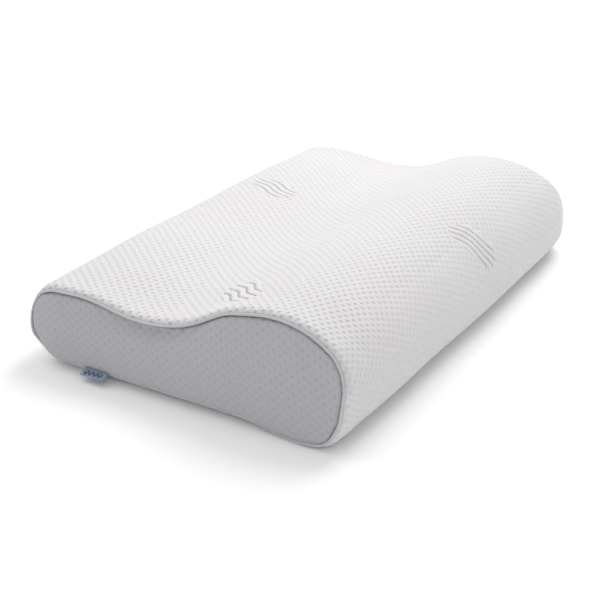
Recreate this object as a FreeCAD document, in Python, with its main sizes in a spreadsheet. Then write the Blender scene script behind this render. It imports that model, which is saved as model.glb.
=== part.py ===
"""Contour bed pillow: a moulded foam core in a liner, inside a zipped knitted cover.

Row frame, millimetres: +X along the pillow, +Y across it towards the low lobe, +Z up.
The origin is the middle of the underside.  The cover is a white wrap with a grey panel
and a ring of piping at each end, and a coil zip along the side of the low lobe.

Every layer has the same cross-section, an outline of tangent arcs, moved inwards by the
depth of that layer.  A depth is measured inwards from the outside of the cover.
"""
import FreeCAD
import Part
import Sketcher
import math
import os

# name, value in millimetres (or a ratio or degrees where it says so), meaning
DIMENSIONS = [
    ("width", 317, "across the pillow, over the cover"),
    ("base_length", 488, "along the underside, between the planes of the end panels"),
    ("end_lean", 0.276, "ratio: how far an end leans inwards per millimetre of height"),
    ("crest_height", 96.5, "top of the high lobe"),
    ("crest_offset", 83, "from the middle of the pillow to the crest of the high lobe"),
    ("crest_radius", 106, "round of the high lobe"),
    ("trough_radius", 170, "hollow between the lobes"),
    ("low_height", 71, "top of the low lobe"),
    ("low_crest_radius", 680, "slow rise of the low lobe"),
    ("low_nose_radius", 30, "upper round of the low lobe's side"),
    ("high_nose_radius", 44, "upper round of the high lobe's side"),
    ("high_base_radius", 29, "lower round of the high lobe's side"),
    ("end_round", 8, "rounding of the cover down to the end seam"),
    ("cover_depth", 0, "depth of the cover's outside"),
    ("liner_depth", 2.5, "depth of the liner's outside, which is the cover's thickness"),
    ("foam_depth", 3.3, "depth of the foam's outside"),
    ("liner_relief", 6.1, "depth of the liner behind the zip"),
    ("foam_relief", 6.9, "depth of the foam behind the zip"),
    ("seam_depth", 8, "depth of the seam that joins an end panel to the wrap"),
    ("piping_outer", 6.5, "depth of the piping's outer edge"),
    ("piping_inner", 9.5, "depth of the piping's inner edge"),
    ("piping_proud", 1.5, "how far the piping stands out of an end"),
    ("piping_root", -1.5, "how far the piping reaches into an end"),
    ("prism_reach", 20, "how far the prisms that cut the seams run past an end"),
    ("underside_edge", 145.5, "from the middle to the seam under the high lobe's side"),
    ("slot_length", 400, "opening in the cover for the zip"),
    ("slot_half", 9, "half the height of that opening"),
    ("relief_length", 424, "hollow behind the zip"),
    ("relief_half", 20.5, "half the height of that hollow"),
    ("tape_length", 408, "zip tapes"),
    ("tape_face", 3.2, "depth of a tape's outer face"),
    ("tape_back", 3.7, "depth of a tape's inner face"),
    ("tape_near", 1, "from the middle of the zip to a tape's near edge"),
    ("tape_far", 14, "from the middle of the zip to a tape's sewn edge"),
    ("coil_length", 392, "coils"),
    ("coil_face", 1.2, "depth of a coil's outer face"),
    ("coil_near", 0.65, "from the middle of the zip to a coil"),
    ("coil_far", 3.05, "from the middle of the zip to a coil's far edge"),
    ("stop_length", 2.4, "stops at the ends of the coils"),
    ("stop_gap", 0.4, "between a coil's end and its stop"),
    ("stop_lift", 0.3, "between a flat stop and its curved tape"),
    ("slider_place", 188, "from the middle of the pillow to the closed slider"),
    ("slider_length", 12, "zip slider"),
    ("slider_half", 4.5, "half the slider's height"),
    ("slider_flange", 3.5, "from the middle of the zip to the slider's flanges"),
    ("slider_proud", 0.4, "how far the slider's outer plate stands out of the cover"),
    ("slider_plate", 1.3, "thickness of the outer plate"),
    ("slider_back", 4.6, "depth of the inner plate's face"),
    ("slider_back_plate", 1, "thickness of the inner plate"),
    ("post_place", 2, "from the slider's middle to its post"),
    ("post_length", 3, "length of the post"),
    ("post_room", 0.3, "between the post and a coil"),
    ("flange_room", 0.4, "between a flange and its tape"),
    ("bridge_length", 7.6, "bridge that holds the pull"),
    ("bridge_width", 1.6, "width of the bridge"),
    ("bridge_post", 1.2, "length of each foot of the bridge"),
    ("bridge_room", 2.1, "height of the gap under the bridge"),
    ("bridge_top", 1, "thickness of the bridge's top"),
    ("pull_length", 27, "zip pull, from its pivot to its tip"),
    ("pull_width", 7, "width of the pull"),
    ("pull_thick", 1.2, "thickness of the pull"),
    ("pull_eye", 5.4, "length of the pull's eye"),
    ("pull_arm", 1.3, "width of the pull's arms beside the eye"),
    ("tag_place", 77, "from the middle of the pillow to the middle of the woven tag"),
    ("tag_width", 25, "woven tag on the left end"),
    ("tag_length", 8, "how far the tag stands out of its seam"),
    ("tag_thick", 0.8, "two layers of ribbon"),
    ("tag_height", 5.4, "height of the tag's seam"),
    ("tag_droop", 14, "degrees: slope of the tag"),
    ("tag_gap", 0.6, "between the tag and the end panel"),
    ("label_place", 118, "from the middle of the pillow to the middle of the care label"),
    ("label_width", 24, "care label beside the zip"),
    ("label_face", -0.4, "depth of the care label's outside: it lies on the cover"),
    ("label_top", 10, "from the middle of the zip to the label's sewn edge"),
    ("label_end", 44, "from the middle of the zip to the label's free end"),
]

MARGIN = 20.0          # cutting tools reach this far past what they cut

dim = {name: value for name, value, meaning in DIMENSIONS}
doc = FreeCAD.newDocument("contour_pillow")
nodes = []


def make_sheet():
    """The driving dimensions, one alias per row."""
    sheet = doc.addObject("Spreadsheet::Sheet", "Dims")
    for row, (name, value, meaning) in enumerate(DIMENSIONS, start=1):
        sheet.set(f"A{row}", name)
        sheet.set(f"B{row}", str(value))
        sheet.set(f"C{row}", meaning)
        sheet.setAlias(f"B{row}", name)
    doc.recompute()


# ---- the outline and the layers ------------------------------------------------------

def outline_centres():
    """Centres (y, z) of the outline's arcs, which are the same for every layer."""
    half = dim["width"] / 2
    crest = (-dim["crest_offset"], dim["crest_height"] - dim["crest_radius"])
    nose_y = half - dim["low_nose_radius"]
    low_crest = (nose_y, dim["low_height"] - dim["low_crest_radius"])

    # the trough's circle touches both crests from outside
    to_crest = dim["crest_radius"] + dim["trough_radius"]
    to_low = dim["low_crest_radius"] + dim["trough_radius"]
    gap = (low_crest[0] - crest[0], low_crest[1] - crest[1])
    apart = math.hypot(*gap)
    along = (to_crest**2 - to_low**2 + apart**2) / (2 * apart)
    aside = math.sqrt(to_crest**2 - along**2)
    unit = (gap[0] / apart, gap[1] / apart)
    trough = (crest[0] + unit[0] * along - unit[1] * aside,
              crest[1] + unit[1] * along + unit[0] * aside)

    high_y = -half + dim["high_nose_radius"]
    reach = dim["crest_radius"] - dim["high_nose_radius"]
    high_z = crest[1] + math.sqrt(reach**2 - (high_y - crest[0])**2)
    base = dim["high_base_radius"]
    low_base = dim["low_height"] - dim["low_nose_radius"]
    return {
        "low_nose": (nose_y, low_base),
        "low_crest": low_crest,
        "trough": trough,
        "crest": crest,
        "high_nose": (high_y, high_z),
        "high_base": (-half + base, base),
        "low_base": (half - low_base, low_base),
    }


def arc(centre, radius, start, end):
    """An arc from angle start to angle end, anticlockwise, in radians."""
    circle = Part.Circle(FreeCAD.Vector(centre[0], centre[1], 0), FreeCAD.Vector(0, 0, 1), radius)
    return Part.ArcOfCircle(circle, start, end)


def direction(centre, other):
    """Angle of the line from centre to other."""
    return math.atan2(other[1] - centre[1], other[0] - centre[0])


def line(start, end):
    return Part.LineSegment(FreeCAD.Vector(*start, 0), FreeCAD.Vector(*end, 0))


def draw_outline(sketch, depth):
    """The pillow's cross-section at one depth: seven tangent arcs, a side and a base."""
    inset = dim[depth]
    at = outline_centres()
    half = dim["width"] / 2
    radius = {
        "low_nose": dim["low_nose_radius"] - inset,
        "low_crest": dim["low_crest_radius"] - inset,
        "trough": dim["trough_radius"] + inset,
        "crest": dim["crest_radius"] - inset,
        "high_nose": dim["high_nose_radius"] - inset,
        "high_base": dim["high_base_radius"] - inset,
        "low_base": dim["low_height"] - dim["low_nose_radius"] - inset,
    }
    turn = {
        "low_nose": (0, math.pi / 2),
        "low_crest": (math.pi / 2, direction(at["low_crest"], at["trough"])),
        "trough": (direction(at["trough"], at["crest"]), direction(at["trough"], at["low_crest"])),
        "crest": (direction(at["crest"], at["trough"]), direction(at["crest"], at["high_nose"])),
        "high_nose": (direction(at["crest"], at["high_nose"]), math.pi),
        "high_base": (math.pi, 1.5 * math.pi),
        "low_base": (1.5 * math.pi, 2 * math.pi),
    }
    side = line((-half + inset, at["high_nose"][1]), (-half + inset, at["high_base"][1]))
    base = line((at["high_base"][0], inset), (at["low_base"][0], inset))

    number = {}
    for name in ("low_nose", "low_crest", "trough", "crest", "high_nose"):
        number[name] = sketch.addGeometry(arc(at[name], radius[name], *turn[name]))
    number["side"] = sketch.addGeometry(side)
    number["high_base"] = sketch.addGeometry(arc(at["high_base"], radius["high_base"], *turn["high_base"]))
    number["base"] = sketch.addGeometry(base)
    number["low_base"] = sketch.addGeometry(arc(at["low_base"], radius["low_base"], *turn["low_base"]))

    first, last, centre = 1, 2, 3
    joins = [
        ("low_nose", last, "low_crest", first),
        ("low_crest", last, "trough", last),
        ("trough", first, "crest", first),
        ("crest", last, "high_nose", first),
        ("high_nose", last, "side", first),
        ("side", last, "high_base", first),
        ("high_base", last, "base", first),
        ("base", last, "low_base", first),
        ("low_base", last, "low_nose", first),
    ]
    for piece, end, other, other_end in joins:
        sketch.addConstraint(Sketcher.Constraint("Tangent", number[piece], end, number[other], other_end))
    sketch.addConstraint(Sketcher.Constraint("Vertical", number["side"]))
    sketch.addConstraint(Sketcher.Constraint("Horizontal", number["base"]))

    def size(name, constraint, formula):
        index = sketch.addConstraint(constraint)
        sketch.renameConstraint(index, name)
        sketch.setExpression(f"Constraints.{name}", formula)

    for name, formula in (
        ("low_nose", "Dims.low_nose_radius - Dims.{0}"),
        ("low_crest", "Dims.low_crest_radius - Dims.{0}"),
        ("trough", "Dims.trough_radius + Dims.{0}"),
        ("crest", "Dims.crest_radius - Dims.{0}"),
        ("high_nose", "Dims.high_nose_radius - Dims.{0}"),
        ("high_base", "Dims.high_base_radius - Dims.{0}"),
        ("low_base", "Dims.low_height - Dims.low_nose_radius - Dims.{0}"),
    ):
        constraint = Sketcher.Constraint("Radius", number[name], radius[name])
        size(f"{name}_radius", constraint, formula.format(depth))

    origin = (-1, 1)
    size("crest_y", Sketcher.Constraint("DistanceX", number["crest"], centre, *origin, -at["crest"][0]),
         "Dims.crest_offset")
    size("crest_z", Sketcher.Constraint("DistanceY", number["crest"], centre, *origin, -at["crest"][1]),
         "Dims.crest_radius - Dims.crest_height")
    size("low_y", Sketcher.Constraint("DistanceX", *origin, number["low_crest"], centre, at["low_crest"][0]),
         "Dims.width / 2 - Dims.low_nose_radius")
    size("low_z", Sketcher.Constraint("DistanceY", number["low_crest"], centre, *origin, -at["low_crest"][1]),
         "Dims.low_crest_radius - Dims.low_height")
    size("nose_y", Sketcher.Constraint("DistanceX", *origin, number["low_nose"], centre, at["low_nose"][0]),
         "Dims.width / 2 - Dims.low_nose_radius")
    size("side_y", Sketcher.Constraint("DistanceX", number["side"], first, *origin, half - inset),
         f"Dims.width / 2 - Dims.{depth}")
    if inset:
        size("base_z", Sketcher.Constraint("DistanceY", *origin, number["base"], first, inset),
             f"Dims.{depth}")
    else:
        sketch.addConstraint(Sketcher.Constraint("PointOnObject", number["base"], first, -1))


def plane_of(body, role):
    """One of the body's own origin planes."""
    for feature in body.Origin.OriginFeatures:
        if feature.Role == role:
            return feature
    raise ValueError(role)


def end_plane_x(shift, height):
    """Where the right end plane, moved outwards by shift, stands at this height."""
    slant = math.sqrt(1 + dim["end_lean"]**2)
    return dim["base_length"] / 2 + shift * slant - dim["end_lean"] * height


def draw_end_cuts(sketch, shift_sign, shift):
    """What lies outside the two leaning ends, seen from the side: one outline at each end."""
    low, high = -MARGIN, dim["crest_height"] + MARGIN
    far = dim["base_length"] / 2 + 2 * MARGIN
    amount = shift_sign * dim[shift]
    corners = [
        (end_plane_x(amount, low), low),
        (far, low),
        (far, high),
        (end_plane_x(amount, high), high),
    ]
    slant = f"{shift_sign} * Dims.{shift} * sqrt(1 + Dims.end_lean ^ 2)"
    foot = f"Dims.base_length / 2 + {slant} + Dims.end_lean * {MARGIN}"
    head = f"Dims.base_length / 2 + {slant} - Dims.end_lean * (Dims.crest_height + {MARGIN})"
    beyond = f"Dims.base_length / 2 + {2 * MARGIN}"
    places = [foot, beyond, beyond, head]
    origin = (-1, 1)
    for side in (1, -1):
        points = [(side * x, z) for x, z in corners]
        lines = []
        for start, end in zip(points, points[1:] + points[:1]):
            lines.append(sketch.addGeometry(line(start, end)))
        for one, following in zip(lines, lines[1:] + lines[:1]):
            sketch.addConstraint(Sketcher.Constraint("Coincident", one, 2, following, 1))
        for index, (one, (x, z), place) in enumerate(zip(lines, corners, places)):
            across = (*origin, one, 1) if side > 0 else (one, 1, *origin)
            constraint = sketch.addConstraint(Sketcher.Constraint("DistanceX", *across, x))
            name = f"x{index}_{'right' if side > 0 else 'left'}"
            sketch.renameConstraint(constraint, name)
            sketch.setExpression(f"Constraints.{name}", place)
            upright = (*origin, one, 1) if z > 0 else (one, 1, *origin)
            constraint = sketch.addConstraint(Sketcher.Constraint("DistanceY", *upright, abs(z)))
            if z > 0:
                name = f"z{index}_{'right' if side > 0 else 'left'}"
                sketch.renameConstraint(constraint, name)
                sketch.setExpression(f"Constraints.{name}", f"Dims.crest_height + {MARGIN}")


def layer(name, depth, shift=None, rounded=True):
    """The solid inside one depth.  Its leaning ends are moved out by shift, or in by the depth."""
    body = doc.addObject("PartDesign::Body", name)
    body.Label = name
    outline = body.newObject("Sketcher::SketchObject", f"{name}_outline")
    outline.AttachmentSupport = [(plane_of(body, "YZ_Plane"), "")]
    outline.MapMode = "FlatFace"
    draw_outline(outline, depth)
    pad = body.newObject("PartDesign::Pad", f"{name}_pad")
    pad.Profile = outline
    pad.Midplane = True
    pad.setExpression("Length", f"Dims.base_length + {2 * MARGIN}")
    doc.recompute()

    cuts = body.newObject("Sketcher::SketchObject", f"{name}_ends")
    cuts.AttachmentSupport = [(plane_of(body, "XZ_Plane"), "")]
    cuts.MapMode = "FlatFace"
    sign = 1 if shift else -1
    draw_end_cuts(cuts, sign, shift or depth)
    pocket = body.newObject("PartDesign::Pocket", f"{name}_pocket")
    pocket.Profile = cuts
    pocket.Type = "ThroughAll"
    pocket.Midplane = True
    doc.recompute()
    if pocket.Shape.Volume >= pad.Shape.Volume:
        raise ValueError(f"{name}: the end cuts missed")
    body.Tip = pocket

    if rounded:
        amount = sign * dim[shift or depth]
        rims = []
        for number, edge in enumerate(pocket.Shape.Edges, start=1):
            points = [edge.valueAt(edge.FirstParameter), edge.valueAt(edge.LastParameter)]
            points.append(edge.valueAt((edge.FirstParameter + edge.LastParameter) / 2))
            if all(abs(abs(p.x) - end_plane_x(amount, p.z)) < 1e-3 for p in points):
                rims.append(f"Edge{number}")
        fillet = body.newObject("PartDesign::Fillet", f"{name}_round")
        fillet.Base = (pocket, rims)
        fillet.setExpression("Radius", f"Dims.end_round - Dims.{depth}")
        body.Tip = fillet
        doc.recompute()
    return body


# ---- small helpers for booleans and primitives ----------------------------------------

def box(name, corner, size):
    """A box whose low corner and size are formulas in the sheet's names."""
    thing = doc.addObject("Part::Box", name)
    thing.Label = name
    for axis, formula in zip("xyz", corner):
        thing.setExpression(f".Placement.Base.{axis}", formula)
    for side, formula in zip(("Length", "Width", "Height"), size):
        thing.setExpression(side, formula)
    return thing


def cut(name, base, tool):
    thing = doc.addObject("Part::Cut", name)
    thing.Label = name
    thing.Base = base
    thing.Tool = tool
    return thing


def common(name, *shapes):
    thing = doc.addObject("Part::MultiCommon", name)
    thing.Label = name
    thing.Shapes = list(shapes)
    return thing


def fuse(name, *shapes):
    thing = doc.addObject("Part::MultiFuse", name)
    thing.Label = name
    thing.Shapes = list(shapes)
    return thing


def node(thing):
    """Mark a finished sub-part: it becomes a file of its own."""
    nodes.append(thing)
    return thing


def half_space(name, side):
    """Everything on one side of the middle of the pillow."""
    low = "0" if side > 0 else f"-Dims.base_length / 2 - {MARGIN}"
    return box(name, (low, "-Dims.width", f"-{MARGIN}"),
               (f"Dims.base_length / 2 + {MARGIN}", "2 * Dims.width", f"Dims.crest_height + {2 * MARGIN}"))


def arc_band(name, upper, length, face, back, near, far):
    """A strip that lies on the round side of the low lobe; the sizes are sheet names.

    It runs along X for length, between the depths face and back.  near and far are
    lengths round the side from the middle of the zip, upwards or downwards.
    """
    below = "(Dims.low_height - Dims.low_nose_radius)"
    radius = "Dims.low_nose_radius" if upper else below
    reach = dim["low_nose_radius"] if upper else dim["low_height"] - dim["low_nose_radius"]
    reach -= (dim[face] + dim[back]) / 2
    # a cylinder's own x axis turns to the strip's near edge, and its z axis to +X or -X
    if upper:
        lying = FreeCAD.Matrix(0, 0, 1, 0, 1, 0, 0, 0, 0, 1, 0, 0)
    else:
        lying = FreeCAD.Matrix(0, 0, -1, 0, 1, 0, 0, 0, 0, -1, 0, 0)
    turn = FreeCAD.Rotation(FreeCAD.Vector(0, 0, 1), math.degrees(dim[near] / reach))
    walls = []
    for depth in (face, back):
        wall = doc.addObject("Part::Cylinder", f"{name}_{depth}")
        wall.Label = f"{name}_{depth}"
        wall.Placement.Rotation = FreeCAD.Placement(lying).Rotation.multiply(turn)
        wall.setExpression("Radius", f"{radius} - Dims.{depth}")
        wall.setExpression("Height", f"Dims.{length}")
        wall.setExpression(".Placement.Base.x", f"{-1 if upper else 1} * Dims.{length} / 2")
        wall.setExpression(".Placement.Base.y", f"Dims.width / 2 - {radius}")
        wall.setExpression(".Placement.Base.z", below)
        walls.append(wall)
    span = f"(Dims.{far} - Dims.{near}) / ({radius} - (Dims.{face} + Dims.{back}) / 2) * 180 / pi"
    walls[0].setExpression("Angle", span)
    return cut(name, *walls)


# ---- the pieces -----------------------------------------------------------------------

def make_filling():
    """The foam core and the liner round it, both hollowed behind the zip."""
    middle = "Dims.low_height - Dims.low_nose_radius"
    solid = {}
    for name, depth, relief, wall in (
        ("liner_space", "liner_depth", "liner_relief", "0"),
        ("foam_core", "foam_depth", "foam_relief", "(Dims.foam_depth - Dims.liner_depth)"),
    ):
        corner = (f"-Dims.relief_length / 2 - {wall}", "Dims.width / 2 - Dims.low_nose_radius",
                  f"{middle} - Dims.relief_half - {wall}")
        size = (f"Dims.relief_length + 2 * {wall}", "Dims.width", f"2 * (Dims.relief_half + {wall})")
        hollow = cut(f"{name}_hollow", box(f"{name}_zone", corner, size), layer(f"{name}_deep", relief))
        solid[name] = cut(name, layer(f"{name}_layer", depth), hollow)
    node(solid["foam_core"])
    node(cut("inner_liner", solid["liner_space"], solid["foam_core"]))


def make_cover():
    """The wrap in two panels, the end panels and the piping."""
    outside = layer("cover_outside", "cover_depth")
    inside = doc.getObject("liner_space_layer")
    shell = cut("cover_shell", outside, inside)
    seam = layer("seam_prism", "seam_depth", "prism_reach", rounded=False)
    ring = cut("piping_ring",
               layer("piping_outer_layer", "piping_outer", "piping_proud", rounded=False),
               layer("piping_inner_layer", "piping_inner", "prism_reach", rounded=False))
    rings = cut("piping_rings", ring, layer("piping_root_layer", "cover_depth", "piping_root", rounded=False))
    ends = cut("end_walls", common("end_wall_stock", shell, seam), rings)
    for name, side in (("left", -1), ("right", 1)):
        node(common(f"end_panel_{name}", ends, half_space(f"panel_side_{name}", side)))
        node(common(f"piping_{name}", rings, half_space(f"piping_side_{name}", side)))

    wrap = cut("wrap_without_piping", cut("wrap_stock", shell, seam), rings)
    middle = "(Dims.low_height - Dims.low_nose_radius)"
    reach = f"(Dims.base_length / 2 + {MARGIN})"
    below = box("underside_zone", (f"-{reach}", "-Dims.underside_edge", f"-{MARGIN}"),
                (f"2 * {reach}", "Dims.underside_edge + Dims.width", f"{middle} - Dims.slot_half + {MARGIN}"))
    zones = [below]
    for name, side in (("left", -1), ("right", 1)):
        start = "Dims.slot_length / 2" if side > 0 else f"-{reach}"
        zones.append(box(f"zip_end_zone_{name}", (start, "0", f"{middle} - 2 * Dims.slot_half"),
                         (f"{reach} - Dims.slot_length / 2", "Dims.width", "2 * Dims.slot_half")))
    zone = fuse("underside_zones", *zones)
    slot = box("zip_slot", ("-Dims.slot_length / 2", "0", f"{middle} - Dims.slot_half"),
               ("Dims.slot_length", "Dims.width", "2 * Dims.slot_half"))
    node(common("cover_underside", wrap, zone))
    node(cut("cover_top", wrap, fuse("top_limits", zone, slot)))


def make_zip_tapes():
    """Two tapes, their coils and the stops that end the coils."""
    for name, upper in (("upper", True), ("lower", False)):
        node(arc_band(f"zip_tape_{name}", upper, "tape_length",
                      "tape_face", "tape_back", "tape_near", "tape_far"))
        node(arc_band(f"zip_coil_{name}", upper, "coil_length",
                      "coil_face", "tape_face", "coil_near", "coil_far"))

    middle = "Dims.low_height - Dims.low_nose_radius"
    outwards = "Dims.width / 2 - Dims.tape_face + Dims.stop_lift"
    depth = "Dims.tape_face - Dims.coil_face"
    start = "Dims.coil_length / 2 + Dims.stop_gap"
    width = "Dims.coil_far - Dims.coil_near"
    upper_stop = box("top_stop_upper", (start, outwards, f"{middle} + Dims.coil_near"),
                     ("Dims.stop_length", depth, width))
    lower_stop = box("top_stop_lower", (start, outwards, f"{middle} - Dims.coil_far"),
                     ("Dims.stop_length", depth, width))
    node(fuse("zip_top_stops", upper_stop, lower_stop))
    node(box("zip_bottom_stop", (f"-({start}) - Dims.stop_length", outwards, f"{middle} - Dims.coil_far"),
             ("Dims.stop_length", depth, "2 * Dims.coil_far")))


def make_slider():
    """The slider: two plates on a post, flanges that guide the coils, and the pull's bridge."""
    middle = "(Dims.low_height - Dims.low_nose_radius)"
    start = "Dims.slider_place - Dims.slider_length / 2"
    face = "(Dims.width / 2 + Dims.slider_proud)"
    inner_face = f"({face} - Dims.slider_plate)"
    back = "(Dims.width / 2 - Dims.slider_back)"
    height = "2 * Dims.slider_half"
    pieces = [
        box("slider_outer_plate", (start, inner_face, f"{middle} - Dims.slider_half"),
            ("Dims.slider_length", "Dims.slider_plate", height)),
        box("slider_inner_plate", (start, f"{back} - Dims.slider_back_plate", f"{middle} - Dims.slider_half"),
            ("Dims.slider_length", "Dims.slider_back_plate", height)),
        box("slider_post", ("Dims.slider_place + Dims.post_place", back,
                            f"{middle} - Dims.coil_near + Dims.post_room"),
            ("Dims.post_length", f"{inner_face} - {back}", "2 * (Dims.coil_near - Dims.post_room)")),
    ]
    for name, low in (("upper", f"{middle} + Dims.slider_flange"), ("lower", f"{middle} - Dims.slider_half")):
        lip = "Dims.slider_half - Dims.slider_flange"
        bottom = "(Dims.width / 2 - Dims.tape_face + Dims.flange_room)"
        pieces.append(box(f"slider_flange_{name}", (start, bottom, low),
                          ("Dims.slider_length", f"{inner_face} - {bottom}", lip)))
    side = f"{middle} - Dims.bridge_width / 2"
    for name, foot in (("front", "Dims.slider_place + Dims.bridge_length / 2 - Dims.bridge_post"),
                       ("rear", "Dims.slider_place - Dims.bridge_length / 2")):
        pieces.append(box(f"bridge_foot_{name}", (foot, face, side),
                          ("Dims.bridge_post", "Dims.bridge_room", "Dims.bridge_width")))
    pieces.append(box("bridge_beam", ("Dims.slider_place - Dims.bridge_length / 2",
                                      f"{face} + Dims.bridge_room", side),
                      ("Dims.bridge_length", "Dims.bridge_top", "Dims.bridge_width")))
    node(fuse("zip_slider", *pieces))


def make_pull():
    """The pull tab: its eye's round end bar lies under the bridge, and the tab points to -X."""
    middle = "(Dims.low_height - Dims.low_nose_radius)"
    under = "(Dims.width / 2 + Dims.slider_proud + Dims.bridge_room / 2 - Dims.pull_thick / 2)"
    tab = box("pull_blank",
              ("Dims.slider_place - Dims.pull_length", under, f"{middle} - Dims.pull_width / 2"),
              ("Dims.pull_length", "Dims.pull_thick", "Dims.pull_width"))
    bar = doc.addObject("Part::Cylinder", "pull_end_bar")
    bar.Label = "pull_end_bar"
    bar.setExpression("Radius", "Dims.pull_thick / 2")
    bar.setExpression("Height", "Dims.pull_width")
    bar.setExpression(".Placement.Base.x", "Dims.slider_place")
    bar.setExpression(".Placement.Base.y", f"{under} + Dims.pull_thick / 2")
    bar.setExpression(".Placement.Base.z", f"{middle} - Dims.pull_width / 2")
    eye = box("pull_eye_hole",
              ("Dims.slider_place - Dims.pull_thick / 2 - Dims.pull_eye", f"{under} - {MARGIN}",
               f"{middle} - Dims.pull_width / 2 + Dims.pull_arm"),
              ("Dims.pull_eye", f"Dims.pull_thick + {2 * MARGIN}", "Dims.pull_width - 2 * Dims.pull_arm"))
    node(cut("zip_pull", fuse("pull_with_bar", tab, bar), eye))


def make_labels():
    """The woven tag in the left end's lower seam, and the care label beside the zip."""
    tag = doc.addObject("Part::Box", "woven_tag")
    tag.Label = "woven_tag"
    droop = "(Dims.tag_droop * 1 deg)"
    seam = "(-Dims.base_length / 2 + Dims.end_lean * Dims.tag_height - Dims.tag_gap)"
    for name, formula in (
        ("Length", "Dims.tag_length"),
        ("Width", "Dims.tag_width"),
        ("Height", "Dims.tag_thick"),
        (".Placement.Base.x", f"{seam} - Dims.tag_length * cos{droop}"),
        (".Placement.Base.y", "Dims.tag_place - Dims.tag_width / 2"),
        (".Placement.Base.z", f"Dims.tag_height - Dims.tag_length * sin{droop}"),
    ):
        tag.setExpression(name, formula)
    tag.Placement.Rotation = FreeCAD.Rotation(FreeCAD.Vector(0, 1, 0), -dim["tag_droop"])
    node(tag)

    label = arc_band("care_label", False, "label_width",
                     "label_face", "cover_depth", "label_top", "label_end")
    label.setExpression(".Placement.Base.x", "Dims.label_place")
    node(label)


def check_document():
    """Stop if any object failed, or any sub-part is not a valid solid."""
    doc.recompute()
    for thing in doc.Objects:
        if "Invalid" in thing.State or "Error" in thing.State:
            raise ValueError(f"{thing.Name} failed: {thing.State}")
    for thing in nodes:
        shape = thing.Shape
        if shape.isNull() or not shape.isValid() or not shape.Solids:
            raise ValueError(f"{thing.Label} is not a valid solid")


def write_parts():
    os.makedirs("parts", exist_ok=True)
    for thing in nodes:
        thing.Shape.exportStep(f"parts/{thing.Label}.step")
        bounds = thing.Shape.BoundBox
        print(f"{thing.Label:18s} solids {len(thing.Shape.Solids)}  volume {thing.Shape.Volume:10.1f}"
              f"  x {bounds.XMin:7.1f} {bounds.XMax:7.1f}  y {bounds.YMin:7.1f} {bounds.YMax:7.1f}"
              f"  z {bounds.ZMin:6.1f} {bounds.ZMax:6.1f}")


make_sheet()
make_filling()
make_cover()
make_zip_tapes()
make_slider()
make_pull()
make_labels()
check_document()
write_parts()
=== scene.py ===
"""Contour bed pillow: the soft cover, its seams, zip and labels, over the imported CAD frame.

Lengths in this file are millimetres until a mesh is made.  A point of the cover is given by
x along the pillow, s round the cross-section (from the middle of the zip, up over the low
lobe) and a height above the smooth surface.
"""
import math

import bmesh
import bpy
import numpy as np
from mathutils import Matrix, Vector
from mathutils.kdtree import KDTree


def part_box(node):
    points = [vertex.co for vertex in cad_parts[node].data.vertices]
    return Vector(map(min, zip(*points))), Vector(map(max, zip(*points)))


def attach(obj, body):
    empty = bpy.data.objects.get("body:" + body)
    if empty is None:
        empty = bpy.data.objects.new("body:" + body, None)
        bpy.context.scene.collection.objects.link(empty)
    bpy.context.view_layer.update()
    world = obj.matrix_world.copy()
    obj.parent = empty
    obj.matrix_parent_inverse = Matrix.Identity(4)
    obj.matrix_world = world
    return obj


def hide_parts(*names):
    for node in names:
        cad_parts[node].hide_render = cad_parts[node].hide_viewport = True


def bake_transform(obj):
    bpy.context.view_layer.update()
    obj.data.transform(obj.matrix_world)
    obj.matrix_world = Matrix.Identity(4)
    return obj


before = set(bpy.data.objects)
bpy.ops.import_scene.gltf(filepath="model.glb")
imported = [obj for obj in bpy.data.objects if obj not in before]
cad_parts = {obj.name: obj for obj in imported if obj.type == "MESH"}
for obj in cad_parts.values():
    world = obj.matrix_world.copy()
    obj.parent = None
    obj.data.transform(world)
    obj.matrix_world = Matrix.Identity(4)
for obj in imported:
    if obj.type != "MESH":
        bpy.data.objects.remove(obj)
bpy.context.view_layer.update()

MM = 0.001
scene = bpy.context.scene


def span(node):
    """Lowest and highest corner of a CAD node, in millimetres."""
    low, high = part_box(node)
    return np.array(low) / MM, np.array(high) / MM


# ---- sizes ----------------------------------------------------------------------------

wrap_low, wrap_high = span("cover_top")
HALF = (wrap_high[1] - wrap_low[1]) / 2
CREST = wrap_high[2]
BASE = span("end_panel_right")[1][0]
slider_low, slider_high = span("zip_slider")
SLIDER_X, _, ZIP_Z = (slider_low + slider_high) / 2
UNDER_Y = -145.5            # seam between the wrap and the underside
LEAN = 0.276                # how far an end leans inwards per millimetre of height

LOW_TOP = 71.0              # top of the low lobe
CREST_Y = -83.0
R_CREST, R_TROUGH, R_LOW = 106.0, 170.0, 680.0
R_LOW_NOSE, R_HIGH_NOSE, R_HIGH_BASE = 30.0, 44.0, 29.0
R_LOW_BASE = LOW_TOP - R_LOW_NOSE

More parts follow.
